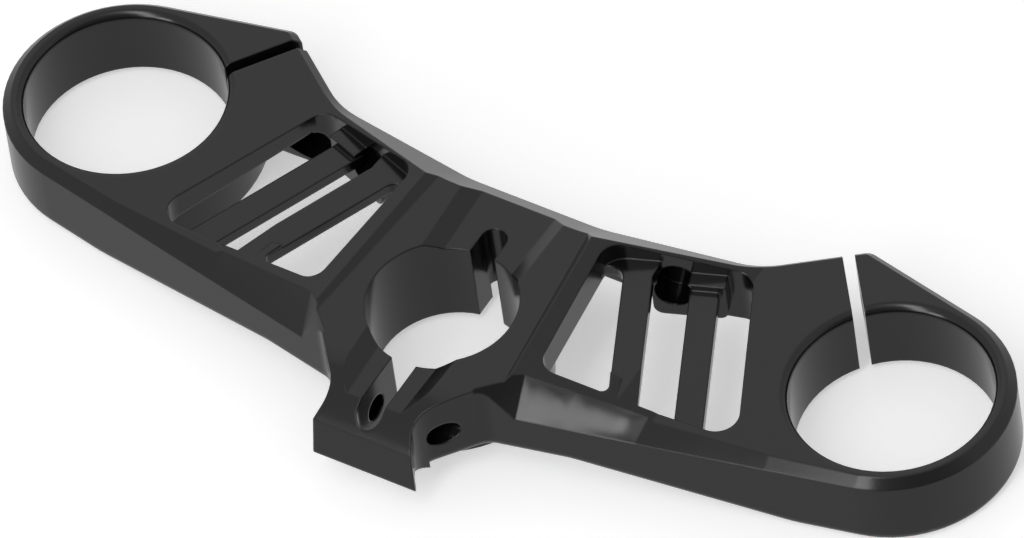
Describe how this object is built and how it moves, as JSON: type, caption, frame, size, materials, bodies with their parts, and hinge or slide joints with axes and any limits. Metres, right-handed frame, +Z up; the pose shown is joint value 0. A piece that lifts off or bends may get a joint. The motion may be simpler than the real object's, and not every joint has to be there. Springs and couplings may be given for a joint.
{
  "type": "motorcycle triple clamp",
  "caption": "Machined triple clamp with split fork clamps at its ends, a slotted stem clamp on a neck, and slanted ribs across the windows of its arms.",
  "frame": {"origin": "steering stem axis at the lower face of the stem boss", "axes": "+Z up along the stem and fork axes, +X across the motorcycle towards one fork clamp, +Y away from the stem's pinch slot"},
  "size_m": [0.2766, 0.1056, 0.031],
  "materials": {
    "black_anodised": "black anodised, satin"
  },
  "bodies": {
    "root": {"triple_clamp": "black_anodised"}
  },
  "joints": []
}
